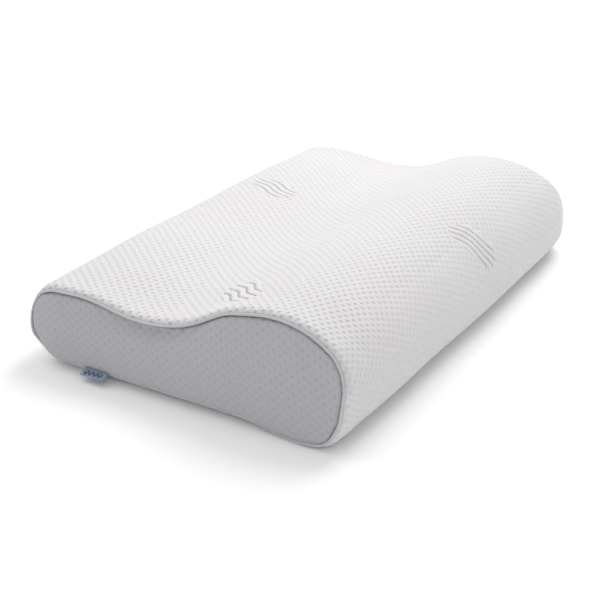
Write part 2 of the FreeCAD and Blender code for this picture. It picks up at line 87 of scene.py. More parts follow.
PITCH_X, PITCH_S = 9.5, 7.2  # the knit's dimples, in two staggered sets
STEP = 1.5                  # spacing of the cover's mesh
FIRST_END = 211.5           # the mesh is regular up to here, then it follows the end seam
EDGE_ROUND = 4.5            # last round of the cover down to the end seam
EDGE_DROP = 3.0
SLOT = 200.0                # half the length of the zip's opening
SLOT_HALF = 9.0
RIB = 1.15                  # radius of the piping
RIB_DEPTH = 0.9             # the piping's middle, in from the cover's edge
PANEL_START = 1.0           # an end panel's hidden edge, in from the cover's edge
HIDDEN_IN = np.array([0.2, 1.4, 3.2])  # the cover's last columns run in behind the end seam
HIDDEN_DOWN = [1.0, 2.2, 4.2]
SPREAD_COLUMNS, ROUND_COLUMNS = 18, 7
LINER_DEPTH, FOAM_DEPTH = 3.2, 4.6     # under the cover's outside
ZIP_HOLLOW = 3.4            # how far liner and foam stand back behind the zip
CLOTH_DEPTH = 2.5           # the simulated copy of the cover, under the outside
CLOTH_FRAMES = 20


# ---- the cross-section ----------------------------------------------------------------

def outline_table():
    """Points and outward normals of the cross-section, every quarter millimetre."""
    crest = np.array([CREST_Y, CREST - R_CREST])
    nose = np.array([HALF - R_LOW_NOSE, LOW_TOP - R_LOW_NOSE])
    low = np.array([nose[0], LOW_TOP - R_LOW])
    gap = low - crest
    apart = np.hypot(*gap)
    along = ((R_CREST + R_TROUGH) ** 2 - (R_LOW + R_TROUGH) ** 2 + apart ** 2) / (2 * apart)
    aside = math.sqrt((R_CREST + R_TROUGH) ** 2 - along ** 2)
    unit = gap / apart
    trough = crest + unit * along + np.array([-unit[1], unit[0]]) * aside
    high_y = -HALF + R_HIGH_NOSE
    rise = math.sqrt((R_CREST - R_HIGH_NOSE) ** 2 - (high_y - crest[0]) ** 2)
    high = np.array([high_y, crest[1] + rise])
    high_base = np.array([-HALF + R_HIGH_BASE, R_HIGH_BASE])
    low_base = np.array([HALF - R_LOW_BASE, R_LOW_BASE])

    def toward(a, b):
        return math.atan2(b[1] - a[1], b[0] - a[0])

    pieces = []

    def add_arc(centre, radius, start, end, sign=1):
        count = max(8, int(radius * abs(end - start) / 0.25))
        t = np.linspace(start, end, count)
        normal = np.stack([np.cos(t), np.sin(t)], 1)
        pieces.append(np.hstack([centre + radius * normal, sign * normal]))

    def add_line(start, end, normal):
        t = np.linspace(0, 1, max(2, int(np.hypot(*(np.array(end) - start)) / 0.25)))[:, None]
        points = np.array(start) * (1 - t) + np.array(end) * t
        pieces.append(np.hstack([points, np.tile(normal, (len(t), 1))]))

    add_arc(nose, R_LOW_NOSE, 0, math.pi / 2)
    add_arc(low, R_LOW, math.pi / 2, toward(low, trough))
    turn = 2 * math.pi
    add_arc(trough, R_TROUGH, toward(trough, low) + turn, toward(trough, crest) + turn, -1)
    add_arc(crest, R_CREST, toward(crest, trough), toward(crest, high))
    add_arc(high, R_HIGH_NOSE, toward(crest, high), math.pi)
    add_line((-HALF, high[1]), (-HALF, high_base[1]), (-1, 0))
    add_arc(high_base, R_HIGH_BASE, math.pi, 1.5 * math.pi)
    add_line((high_base[0], 0), (low_base[0], 0), (0, -1))
    add_arc(low_base, R_LOW_BASE, 1.5 * math.pi, 2 * math.pi)
    table = np.vstack(pieces)
    step = np.hypot(*np.diff(table[:, :2], axis=0).T)
    keep = np.concatenate([[True], step > 1e-6])
    table = table[keep]
    lengths = np.concatenate([[0], np.cumsum(np.hypot(*np.diff(table[:, :2], axis=0).T))])
    return lengths, table


S_TABLE, OUTLINE = outline_table()
AROUND = S_TABLE[-1]
# the seam between wrap and underside, and the round under the high lobe's side
S_UNDER = S_TABLE[np.argmax((OUTLINE[:, 0] > UNDER_Y) & (OUTLINE[:, 1] < 20) & (OUTLINE[:, 3] < -0.3))]
S_HIGH_BASE = S_TABLE[np.argmax((OUTLINE[:, 0] < -140) & (OUTLINE[:, 3] < -0.4))]


def smooth(value, low, high):
    t = np.clip((value - low) / (high - low), 0, 1)
    return t * t * (3 - 2 * t)


def section(s):
    """y, z and the outward normal of the cross-section at s."""
    s = np.mod(s, AROUND)
    return [np.interp(s, S_TABLE, OUTLINE[:, k]) for k in range(4)]


def lying(s):
    """1 on the flat underside, 0 on the sides and top."""
    return smooth(-section(s)[3], 0.55, 0.98)


def near_to(value, middle, width):
    return np.exp(-((value - middle) / width) ** 2)


def seam_inset(s):
    """Depth of the end seam under the outline.  The cover pulls in more under the pillow."""
    y, z, ny, nz = section(s)
    upper = 7.8 - 2.9 * near_to(y, 95, 34) - 3.1 * near_to(y, -30, 20) - 2.0 * smooth(ny, 0.3, 0.8)
    upper += 2.5 * smooth(ny, 0.3, 0.6) * near_to(z, 8, 11)
    under = 5.8 - 4.5 * near_to(y, -110, 30)
    return upper + (under - upper) * lying(s)


def tuck(s):
    """How far the end seam is drawn in under the pillow and round the low lobe's nose."""
    y, z, ny, nz = section(s)
    under = (6.5 - 4.0 * smooth(-y, 60, 130)) * (1 - smooth(z, 1, 22))
    nose = smooth(ny, 0.2, 0.85) * (1.2 + 2.8 * smooth(z, 20, 70))
    return under + nose * (1 - under / 7)


def end_reach(s):
    """Where the row at s meets the leaning end plane."""
    y, z, ny, nz = section(s)
    return BASE - LEAN * (z - seam_inset(s) * nz) - tuck(s)


def roll_off(a, s):
    """How far the cover has sunk below the outline at a distance a from the end seam."""
    flat, inset = lying(s), seam_inset(s)
    drop = EDGE_DROP * (1 - flat) * (1 - 0.55 * smooth(section(s)[2], 0.3, 0.8)) + 0.5 * inset * flat
    slow = (inset - drop) * ((1 - flat) * np.exp(-a / 38) + flat * np.exp(-a / 13))
    t = np.clip((EDGE_ROUND - a) / EDGE_ROUND, 0, 1)
    return slow + drop * (1 - np.sqrt(1 - t * t))


def hills(x, s, seed, size):
    """Gentle unevenness between -1 and 1, the same on every run."""
    rng = np.random.default_rng(seed)
    total = np.zeros(np.broadcast(x, s).shape)
    for _ in range(7):
        turn, phase = rng.uniform(0, 2 * math.pi, 2)
        wave = 2 * math.pi / (size * rng.uniform(0.7, 1.6))
        total = total + np.sin(wave * (x * math.cos(turn) + s * math.sin(turn)) + phase)
    return total / 4.0


# ---- the knit's relief ----------------------------------------------------------------

# the smooth knitted ovals, each with its ripples: x, s, and how far it is turned
OVALS = [(66.0, 82.0, -24.0), (-178.0, 207.0, -42.0), (23.0, 328.0, 20.0)]
OVAL_X, OVAL_S = 18.0, 31.0


def oval_place(x, s):
    """Place inside the nearest oval, 1 at its rim."""
    u, v = [], []
    for middle_x, middle_s, turn in OVALS:
        dx, ds = x - middle_x, s - middle_s
        cos, sin = math.cos(math.radians(turn)), math.sin(math.radians(turn))
        u.append((dx * cos - ds * sin) / OVAL_X)
        v.append((dx * sin + ds * cos) / OVAL_S)
    u, v = np.array(u), np.array(v)
    nearest = np.argmin(u * u + v * v, axis=0)[None]
    return [np.take_along_axis(values, nearest, 0)[0] for values in (u, v)]


def ripples(u, v):
    """Distance in millimetres to the nearest ripple of an oval, at the place u, v in it."""
    lane = 2.5 * u + 0.22 * np.sin(5.0 * v)
    return np.abs(np.mod(lane, 1) - 0.5) * OVAL_X / 2.5


def knit_place(x, s):
    """Place in the knit, in dimple pitches.  The cover is drawn on slightly twisted."""
    x, q = x / 200, (s - 200) / 200
    return (19.5 * x - 3.5 * q + 1.5 * q * q + 2.0 * x * q - 0.6 * x * x,
            5.3 * x + 26.8 * q + 0.3 * q * q - 1.4 * x * q + 0.3 * x * x)


def panel_place(y, height):
    """The same on the grey end panels."""
    return 0.103 * y - 0.028 * height, 0.012 * y + 0.148 * height


def dimples(u, v):
    """Distance to the nearest dimple, in millimetres."""
    def to_set(shift):
        du, dv = (np.mod(value + shift + 0.5, 1) - 0.5 for value in (u, v))
        return np.hypot(du * PITCH_X, dv * PITCH_S)
    return np.minimum(to_set(0.0), to_set(0.5))


def dent(u, v):
    """Height of the knit, from -0.75 in a dimple's middle to 0.25 between the dimples."""
    return 0.25 - near_to(dimples(u, v), 0, 1.8)


def relief(x, s, depth):
    """Height of the white knit, with the ripples of its ovals."""
    u, v = oval_place(x, s)
    rim = np.hypot(u, v)
    plain = smooth(rim, 0.85, 1.1)
    groove = 0.6 * near_to(ripples(u, v), 0, 1.2) * (1 - smooth(rim, 0.85, 1.0))
    return plain * depth * dent(*knit_place(x, s)) + (1 - plain) * 0.15 - groove


# ---- meshes ---------------------------------------------------------------------------

def add_object(name, data):
    thing = bpy.data.objects.new(name, data)
    scene.collection.objects.link(thing)
    return thing


def new_object(name, points, faces, **uvs):
    """A smooth-shaded mesh; uvs gives the u and v of every point, by the uv layer's name."""
    mesh = bpy.data.meshes.new(name)
    mesh.from_pydata((np.reshape(points, (-1, 3)) * MM).tolist(), [], [list(face) for face in faces])
    mesh.polygons.foreach_set("use_smooth", np.ones(len(mesh.polygons), bool))
    corners = np.zeros(len(mesh.loops), np.int32)
    mesh.loops.foreach_get("vertex_index", corners)
    for layer, values in uvs.items():
        values = np.stack(np.broadcast_arrays(*values), -1).reshape(-1, 2).astype(np.float32)
        mesh.uv_layers.new(name=layer).data.foreach_set("uv", values[corners].ravel())
    mesh.update()
    return add_object(name, mesh)


def applied(thing):
    """A thing's final mesh; the thing itself is removed."""
    graph = bpy.context.evaluated_depsgraph_get()
    mesh = bpy.data.meshes.new_from_object(thing.evaluated_get(graph))
    bpy.data.objects.remove(thing)
    return mesh


def vectors(mesh, what="co"):
    """The points or normals of a mesh as an array."""
    values = np.zeros(len(mesh.vertices) * 3)
    mesh.vertices.foreach_get(what, values)
    return values.reshape(-1, 3)


def weld(thing, distance, sharp=None):
    """Merge the points that meet.  With sharp, keep edges of more than that many degrees sharp."""
    edit = bmesh.new()
    edit.from_mesh(thing.data)
    bmesh.ops.remove_doubles(edit, verts=edit.verts, dist=distance)
    if sharp:
        bmesh.ops.recalc_face_normals(edit, faces=edit.faces)
        for edge in edit.edges:
            if len(edge.link_faces) == 2 and edge.calc_face_angle(0) > math.radians(sharp):
                edge.smooth = False
    edit.to_mesh(thing.data)
    edit.free()
    return thing


def tree_of(points):
    tree = KDTree(len(points))
    for k, point in enumerate(points):
        tree.insert(point, k)
    tree.balance()
    return tree


def grid_faces(rows, cols, close_rows=False, close_cols=False, flip=False):
    """The quads of a grid of points, each round from its first corner along the rows first."""
    r0, c0 = np.meshgrid(np.arange(rows if close_rows else rows - 1),
                         np.arange(cols if close_cols else cols - 1), indexing="ij")
    r1, c1 = (r0 + 1) % rows, (c0 + 1) % cols
    quads = np.stack([r0 * cols + c0, r1 * cols + c0, r1 * cols + c1, r0 * cols + c1], -1).reshape(-1, 4)
    return (quads[:, ::-1] if flip else quads).tolist()


def end_caps(rows, cols, flip=False):
    """The two faces that close a tube of rings."""
    caps = list(range(cols)), list(range((rows - 1) * cols, rows * cols))[::-1]
    return [cap[::-1] if flip else cap for cap in caps]


def place(x, s, inset, height):
    y, z, ny, nz = section(s)
    out = height - inset
    z = z + out * nz
    # the underside lies on the floor
    z = np.maximum(z, 0.12)
    return np.stack([x, y + out * ny, z], -1)


def columns(s):
    """x, distance from the end and extra depth of every column of the grid, for rows at s."""
    reach = end_reach(s)[:, None]
    inner = np.arange(0, FIRST_END + 0.1, STEP)
    spread = np.arange(1, SPREAD_COLUMNS + 1) / SPREAD_COLUMNS
    turn = np.arange(1, ROUND_COLUMNS + 1) / ROUND_COLUMNS * math.pi / 2
    x = np.hstack([
        np.tile(inner, (len(s), 1)),
        FIRST_END + (reach - EDGE_ROUND - FIRST_END) * spread,
        reach - EDGE_ROUND * (1 - np.sin(turn)),
        reach - HIDDEN_IN,
    ])
    hidden = len(HIDDEN_IN)
    extra = np.concatenate([np.zeros(x.shape[1] - hidden), HIDDEN_DOWN])
    a = np.maximum(reach - x, 0)
    a[:, -hidden:] = 0
    return (np.hstack([-x[:, :0:-1], x]), np.hstack([a[:, :0:-1], a]),
            np.concatenate([extra[:0:-1], extra]))


def slot_edge(x):
    """Distance of the cover's edge from the middle of the zip."""
    return SLOT_HALF * smooth(SLOT + 1 - np.abs(x), 0, 5)


# rows of the zip's hem and of the seam's tuck: distance from the edge, and height
HEM = np.array([(4.5, -2.4), (1.6, -2.2), (0.2, -1.6), (0.0, -0.8), (0.3, -0.25), (0.9, 0.0)])
TUCK = np.array([(0.9, -0.15), (0.35, -0.5), (0.05, -1.2), (0.1, -2.2)])
AFTER_HEM = 15.1            # the regular rows start here, after the rows that lead up to them
BEFORE_TUCK = 2.4


def unevenness(x, s, a, slack):
    """Slow rises and falls of the cover, from the sewing and from the cloth simulation."""
    height = 0.22 * near_to(a, 5.5, 3.5) * hills(x * 0.1, s, 5, 17)
    bow = near_to(s, S_HIGH_BASE, 34) * smooth(a, 0, 25) * (1 - lying(s))
    bow *= 0.4 + 3.2 * smooth(x, -160, 150)
    return height + bow + smooth(a, 4, 30) * (0.7 * hills(x, s, 7, 120) + slack(x, s))


def cover_point(x, s, height, slack):
    a = np.maximum(end_reach(s) - np.abs(x), 0)
    return place(x, s, roll_off(a, s), height + unevenness(x, s, a, slack))


def make_cover(name, zip_s, seam_s, depth, slack):
    """A panel of the cover between its hem at zip_s and its seam at seam_s."""
    sign = 1 if seam_s > zip_s else -1
    count = int(abs(seam_s - zip_s) / STEP)
    regular = zip_s + sign * STEP * np.arange(0, count + 1)
    regular = regular[(abs(regular - zip_s) >= AFTER_HEM) & (abs(regular - seam_s) > BEFORE_TUCK)]
    lead = np.linspace(0, 1, 8, endpoint=False)
    s_rows = np.concatenate([zip_s + sign * np.minimum(HEM[:, 0], 1.0), zip_s + sign * (1.8 + 13.5 * lead),
                             regular, seam_s - sign * TUCK[:, 0]])
    x, a, extra = columns(s_rows)
    s = np.tile(s_rows[:, None], (1, x.shape[1]))
    edge = slot_edge(x[0])
    s[:len(HEM)] = zip_s + sign * (edge + HEM[:, :1])
    start = edge + HEM[-1, 0] + 0.9
    goal = abs(regular[0] - zip_s)
    s[len(HEM):len(HEM) + len(lead)] = zip_s + sign * (start + (goal - start) * lead[:, None])
    lift = np.zeros_like(x)
    lift[:len(HEM)] = HEM[:, 1:]
    lift[-len(TUCK):] = TUCK[:, 1:]
    lift = np.where(lift < -0.35, -0.35 + (lift + 0.35) * smooth(a, 1, 10), lift)
    away = np.minimum(np.abs(s - zip_s) - slot_edge(x), np.abs(s - seam_s))
    fade = smooth(a, 2, 10) * smooth(away, 1.5, 5) * (1 - 0.5 * smooth(-section(s)[2], 0.75, 1))
    height = lift + fade * relief(x, s, depth)
    height -= 0.35 * near_to(away, 2.4, 0.8) * smooth(a, 1, 4) * (1 - 0.7 * near_to(np.abs(x), SLOT + 3, 4))
    height += 0.25 * near_to(away, 4.5, 3) * hills(x, s * 0.1, 6, 15)
    height += unevenness(x, s, a, slack)
    u, v = oval_place(x, s)
    points = place(x, s, roll_off(a, s) + extra, height)
    # motif jumps where two ovals are as near; rim, the distance from the nearest, doesn't
    return new_object(name, points, grid_faces(*x.shape, flip=sign < 0),
                      knit=knit_place(x, s), motif=(u, v), rim=(np.minimum(np.hypot(u, v), 2), 0))


def make_body(name, inset, step, hollow):
    """A closed smooth body inside the cover, hollowed behind the zip."""
    s = np.linspace(0, AROUND, int(AROUND / step), endpoint=False)
    reach = end_reach(s)[:, None] - inset
    t = np.linspace(-1, 1, int(2 * BASE / step))
    x = reach * (np.sign(t) * (1 - (1 - np.abs(t)) ** 1.15))
    a = np.maximum(reach - np.abs(x), 0)
    rows, cols = x.shape
    s = np.tile(s[:, None], (1, cols))
    behind_zip = (1 - smooth(np.minimum(s, AROUND - s), 17, 22)) * (1 - smooth(np.abs(x), 207, 213))
    wavy = 0.35 * hills(x, s, 51, 60) * smooth(a, 2, 20)
    points = place(x, s, roll_off(a, s) + inset + hollow * behind_zip, wavy)
    points[..., 2] = np.maximum(points[..., 2], inset)
    faces = grid_faces(rows, cols, close_rows=True)
    faces.append([r * cols for r in reversed(range(rows))])
    faces.append([r * cols + cols - 1 for r in range(rows)])
    return new_object(name, points, faces, knit=(x / PITCH_X, s / PITCH_S))


# ---- end panels and piping ------------------------------------------------------------

def seam_loop(extra=0.0, step=None):
    """The end seam's loop: points (y, z) and s, moved inwards by extra."""
    s = S_TABLE if step is None else np.linspace(0, AROUND, int(AROUND / step), endpoint=False)
    y, z, ny, nz = section(s)
    inset = seam_inset(s) + extra
    return y - inset * ny, z - inset * nz, s


def plane_point(side, y, z, out):
    """A point out from an end's leaning plane."""
    slant = math.hypot(1, LEAN)
    return np.stack([side * (BASE - LEAN * z + out / slant), y, z + out * LEAN / slant], -1)


def panel_rays():
    """Start points round an end panel's edge and the points in its middle that they run to.

    Rays from above and below meet on the panel's middle line, and those from its two rounded
    ends at the ends of that line.
    """
    y, z, _ = seam_loop(PANEL_START)
    split = np.argmin(y)
    # the loop starts at the greatest y, runs over the top to the least y and back underneath
    top_y, top_z = y[:split + 1][::-1], z[:split + 1][::-1]
    low_y, low_z = np.append(y[split:], y[0]), np.append(z[split:], z[0])
    middle_y = np.linspace(y.min() + 40, y.max() - 29, 210)
    upper = np.stack([middle_y, np.interp(middle_y, top_y, top_z)], 1)
    lower = np.stack([middle_y, np.interp(middle_y, low_y, low_z)], 1)
    middle = (upper + lower) / 2 + 0.04 * (upper - lower)

    def nose(chosen, start, end):
        """Points at 1.2 mm along the part of the loop between start and end."""
        part = np.vstack([start, np.stack([y, z], 1)[chosen], end])
        length = np.concatenate([[0], np.cumsum(np.hypot(*np.diff(part, axis=0).T))])
        at = np.linspace(0, length[-1], int(length[-1] / 1.2))[1:-1]
        return np.stack([np.interp(at, length, part[:, 0]), np.interp(at, length, part[:, 1])], 1)

    order = np.arange(len(y))
    high_side = nose((y < middle_y[0]) & (order > 0), upper[0], lower[0])
    right = (y > middle_y[-1])
    turned = np.concatenate([order[right & (order > split)], order[right & (order <= split)]])
    low_side = nose(turned, lower[-1], upper[-1])
    starts = np.vstack([upper[::-1], high_side, lower, low_side])
    goals = np.vstack([middle[::-1], np.tile(middle[0], (len(high_side), 1)), middle,
                       np.tile(middle[-1], (len(low_side), 1))])
    return starts, goals


def make_end_panel(name, side, bulge):
    starts, goals = panel_rays()
    length = np.hypot(*(goals - starts).T)
    edge = np.array([0, 0.8, 1.3, 1.5, 1.62, 1.8, 2.1, 2.6, 3.2, 3.9, 4.7])[:, None]
    t = np.linspace(0, 1, 30)[1:, None]
    along = np.vstack([np.tile(edge, (1, len(starts))), edge[-1] + (length - edge[-1]) * t])
    share = (along / length)[..., None]
    yy, zz = np.moveaxis(starts * (1 - share) + goals * share, -1, 0)
    loop_y, loop_z, loop_s = seam_loop(PANEL_START, 0.8)
    tree = tree_of([(y, z, 0) for y, z in zip(loop_y, loop_z)])
    _, nearest, d = zip(*[tree.find((y, z, 0)) for y, z in zip(yy.ravel(), zz.ravel())])
    d = np.reshape(d, yy.shape)
    drawn_in = tuck(loop_s)[list(nearest)].reshape(yy.shape)
    # d is the distance from the panel's edge
    d = np.where(along < 5, along, np.maximum(d, np.minimum(along, 4.7)))
    out = -2.4 + 2.9 * np.sqrt(1 - np.clip(1 - (d - 1.5) / 2.8, 0, 1) ** 2)
    out += 2.2 * (1 - np.exp(-np.maximum(d - 2, 0) / 11)) + bulge(side, yy, zz) * smooth(d, 2, 16)
    # the hollow under the trough's seam
    out -= 3.2 * near_to(yy, 30, 42) * near_to(d, 4, 9) * (zz > 30) * smooth(d, 0, 4)
    out -= drawn_in * (1 - np.sqrt(1 - np.clip(1 - d / 9, 0, 1) ** 2))
    u, v = panel_place(yy, zz * math.hypot(1, LEAN))
    out += smooth(d, 3.5, 9) * 0.26 * dent(u, v)
    out += smooth(d, 3, 20) * 0.6 * hills(yy, zz, 11 + side, 75)
    out += 0.2 * near_to(d, 6, 3) * hills(yy, zz, 21 + side, 14)
    faces = grid_faces(*d.shape, close_cols=True, flip=side > 0)
    return weld(new_object(name, plane_point(side, yy, zz, out), faces, knit=(u, v)), 2e-5)


def tube(centres, radius, sides, closed, frame_up):
    """Points and faces of a tube along centres; frame_up gives each ring's second axis."""
    if closed:
        along = np.roll(centres, -1, 0) - np.roll(centres, 1, 0)
    else:
        along = np.gradient(centres, axis=0)
    along /= np.linalg.norm(along, axis=1, keepdims=True)
    right = np.cross(along, frame_up)
    right /= np.linalg.norm(right, axis=1, keepdims=True)
    up = np.cross(right, along)
    turn = np.linspace(0, 2 * math.pi, sides, endpoint=False)[None, :, None]
    radius = np.broadcast_to(radius, (len(centres),))[:, None, None]
    ring = centres[:, None] + radius * (np.cos(turn) * right[:, None] + np.sin(turn) * up[:, None])
    faces = grid_faces(len(centres), sides, close_rows=closed, close_cols=True)
    if not closed:
        faces += end_caps(len(centres), sides)
    return ring.reshape(-1, 3), faces


def make_piping(name, side):
    """The rolled rib round an end seam."""
    sides, roll = 12, 3.1   # roll is the length of one twist of the knit
    y, z, s = seam_loop(RIB_DEPTH, 1.2)
    out = 0.7 + 0.12 * hills(s, 0 * s, 31 + side, 23) - 1.25 * tuck(s)
    radius = RIB * (1 + 0.05 * np.sin(s * 2 * math.pi / roll) + 0.05 * hills(s, 0 * s, 41 + side, 9))
    points, faces = tube(plane_point(side, y, z, out), radius, sides, True, (side, 0, 0.27))
    return new_object(name, points, faces,
                      knit=(np.repeat(s, sides) / roll, np.tile(np.arange(sides) / sides, len(s))))


# ---- cloth simulation -----------------------------------------------------------------

def cloth_fields():
    """Let a coarse closed copy of the cover swell between its seams.

    Returns how far the sides and the two ends then stand out of their smooth shapes, as
    functions for the fine meshes.
    """
    coarse = make_body("cloth_start", CLOTH_DEPTH, 9, 0)
    remesh = coarse.modifiers.new("voxels", "REMESH")
    remesh.mode, remesh.voxel_size = "VOXEL", 0.0065
    body = add_object("cloth_body", applied(coarse))
    start, normal = vectors(body.data) / MM, vectors(body.data, "normal")

    seam_y, seam_z, _ = seam_loop(CLOTH_DEPTH, 4)
    tree = tree_of([(side * (BASE - LEAN * z - CLOTH_DEPTH), y, z)
                    for y, z in zip(seam_y, seam_z) for side in (-1, 1)])
    from_seam = np.array([tree.find(point)[2] for point in start])
    held = body.vertex_groups.new(name="held")
    near_seam, further = from_seam < 7, (from_seam >= 7) & (from_seam < 14)
    for weight, chosen in ((1.0, near_seam | (start[:, 2] < 4)), (0.35, further)):
        held.add(np.nonzero(chosen)[0].tolist(), weight, "REPLACE")
    cloth = body.modifiers.new("cloth", "CLOTH")
    settings = cloth.settings
    settings.vertex_group_mass = "held"
    settings.use_pressure = True
    settings.uniform_pressure_force = 4.0
    settings.effector_weights.gravity = 0.0
    settings.tension_stiffness = settings.compression_stiffness = 20.0
    settings.bending_stiffness = 1.0
    settings.quality = 6
    cloth.point_cache.frame_start, cloth.point_cache.frame_end = 1, CLOTH_FRAMES
    for number in range(1, CLOTH_FRAMES + 1):
        scene.frame_set(number)
    rise = ((vectors(applied(body)) / MM - start) * normal).sum(1)
    scene.frame_set(1)
    ends = np.abs(normal[:, 0]) > 0.75

    def table(chosen, where, low, high, lift):
        """The rise of the chosen vertices at the points where, smoothed and capped."""
        near, rises = tree_of(start[chosen]), rise[chosen]
        values = [np.mean([rises[k] for _, k, _ in near.find_n(point, 7)])
                  for point in where.reshape(-1, 3)]
        return np.clip(np.reshape(values, where.shape[:-1]) - lift, low, high)

    grid_x, grid_s = np.arange(-232, 233, 8.0), np.arange(0, AROUND + 8, 8.0)
    x, s = np.meshgrid(grid_x, grid_s)
    a = np.maximum(end_reach(s) - np.abs(x), 0)
    middle = np.median(rise[~ends & (start[:, 2] > 30)])
    sides = table(~ends, place(x, s, roll_off(a, s) + CLOTH_DEPTH, 0), -1.1, 1.3, middle)
    grid_y, grid_z = np.arange(-152, 153, 8.0), np.arange(0, 97, 8.0)
    y, z = np.meshgrid(grid_y, grid_z)
    bulges = {side: table(ends & (start[:, 0] * side > 0), plane_point(side, y, z, -CLOTH_DEPTH), 0, 3.0, 0)
              for side in (-1, 1)}

    def cell(value, marks):
        """The mark before a value, and the eased share of the way to the next."""
        at = np.clip((value - marks[0]) / (marks[1] - marks[0]), 0, len(marks) - 1.001)
        first = at.astype(int)
        return first, smooth(at - first, 0, 1)

    def lookup(values, rows, cols, row, col):
        (i, fi), (j, fj) = cell(row, rows), cell(col, cols)
        return ((values[i, j] * (1 - fj) + values[i, j + 1] * fj) * (1 - fi)
                + (values[i + 1, j] * (1 - fj) + values[i + 1, j + 1] * fj) * fi)

    def slack(x, s):
        x, s = np.broadcast_arrays(x, np.mod(s, AROUND))
        return lookup(sides, grid_s, grid_x, s, x)

    def bulge(side, y, z):
        return lookup(bulges[side], grid_z, grid_y, z, y)

    return slack, bulge


# ---- the zip --------------------------------------------------------------------------

TAPE_END, COIL_END = span("zip_tape_upper")[1][0], span("zip_coil_upper")[1][0]
TAPE_NEAR, TAPE_FAR = 1.0, 14.0
TAPE_FACE, TAPE_MIDDLE, TAPE_BACK = 3.2, 3.45, 3.7   # depths under the cover's outside
COIL_TURN = 1.42            # pitch of the coil's turns


def lip_point(upper, x, t, depth):
    """A point of the zip: t round the side from the zip's middle, depth below the cover."""
    radius = R_LOW_NOSE if upper else R_LOW_BASE
    angle = t / (radius - TAPE_MIDDLE)
    sign = 1 if upper else -1
    return np.stack(np.broadcast_arrays(
        x, HALF - radius + (radius - depth) * np.cos(angle),
        ZIP_Z + sign * (radius - depth) * np.sin(angle)), -1)


def make_tape(name, upper, side):
    t = np.linspace(TAPE_NEAR + 0.5, TAPE_FAR - 0.3, 10)
    front = np.stack([t, np.where(t < 3.4, TAPE_FACE - 0.05, TAPE_FACE)], 1)
    back = np.stack([t[::-1], np.full(10, TAPE_BACK)], 1)
    ring = np.vstack([[(TAPE_NEAR, TAPE_MIDDLE), (TAPE_NEAR + 0.15, TAPE_FACE)], front,
                      [(TAPE_FAR, TAPE_MIDDLE)], back, [(TAPE_NEAR + 0.15, TAPE_BACK)]])
    x = np.linspace(0, TAPE_END, 130)[:, None]
    points = lip_point(upper, side * x, ring[:, 0], ring[:, 1] + 0.06 * np.sin(x * 0.9))
    rows, cols, flip = len(x), len(ring), (side > 0) == upper
    faces = grid_faces(rows, cols, close_cols=True, flip=flip) + end_caps(rows, cols, flip)
    return new_object(name, points, faces, knit=(side * x / 1.6, ring[:, 0] / 1.6))


def make_coil(name, upper, side):
    steps, sides = 12, 6    # of a turn, and round the wire
    angle = np.arange(int(COIL_END / COIL_TURN) * steps + 1) / steps * 2 * math.pi
    x = (0 if upper else COIL_TURN / 2) + side * angle / (2 * math.pi) * COIL_TURN
    centres = lip_point(upper, x, 1.47 - 1.6 * np.cos(angle), 2.2 + side * 0.72 * np.sin(angle))
    points, faces = tube(centres, 0.29, sides, False, (1.0, 0, 0))
    return new_object(name, points, faces,
                      knit=(np.repeat(angle, sides), np.tile(np.arange(sides) / sides, len(angle))))


def plate(loops, middle, thick, bevel):
    """A bevelled plate in the zip's plane: loops of (x, z), the middle point and the thickness."""
    curve = bpy.data.curves.new("plate", "CURVE")
    curve.dimensions, curve.fill_mode = "2D", "BOTH"
    curve.extrude, curve.bevel_depth, curve.bevel_resolution = (thick / 2 - bevel) * MM, bevel * MM, 2
    curve.offset = -bevel * MM
    for loop in loops:
        spline = curve.splines.new("POLY")
        spline.points.add(len(loop) - 1)
        for point, (x, z) in zip(spline.points, loop):
            point.co = (x * MM, z * MM, 0, 1)
        spline.use_cyclic_u = True
    mesh = applied(add_object("plate", curve))
    across, up, out = vectors(mesh).T / MM
    faces = [list(polygon.vertices) for polygon in mesh.polygons]
    bpy.data.meshes.remove(mesh)
    return np.stack([middle[0] + across, middle[1] - out, middle[2] + up], 1), faces


def rounded(points, radius, steps=5):
    """A closed outline with rounded corners."""
    out = []
    count = len(points)
    for k in range(count):
        a, b, c = (np.array(points[(k + n) % count], float) for n in (-1, 0, 1))
        before, after = np.linalg.norm(a - b), np.linalg.norm(c - b)
        reach = min(radius, 0.45 * before, 0.45 * after)
        start, end = b + (a - b) / before * reach, b + (c - b) / after * reach
        for t in np.linspace(0, 1, steps):
            out.append(tuple((1 - t) ** 2 * start + 2 * t * (1 - t) * b + t * t * end))
    return out


def mirrored(points):
    """An outline from its upper half."""
    return points + [(x, -z) for x, z in reversed(points)]


def bar(start, end, half):
    return mirrored([(start, half), (end, half)])


def gathered(parts):
    """Points and faces of several (points, faces) as one."""
    points, faces, start = [], [], 0
    for part_points, part_faces in parts:
        points.append(part_points)
        faces += [[k + start for k in face] for face in part_faces]
        start += len(part_points)
    return np.vstack(points), faces


def joined(name, parts):
    """One object from several parts, shaded smooth except at sharp edges."""
    return weld(new_object(name, *gathered(parts)), 1e-6, 35)


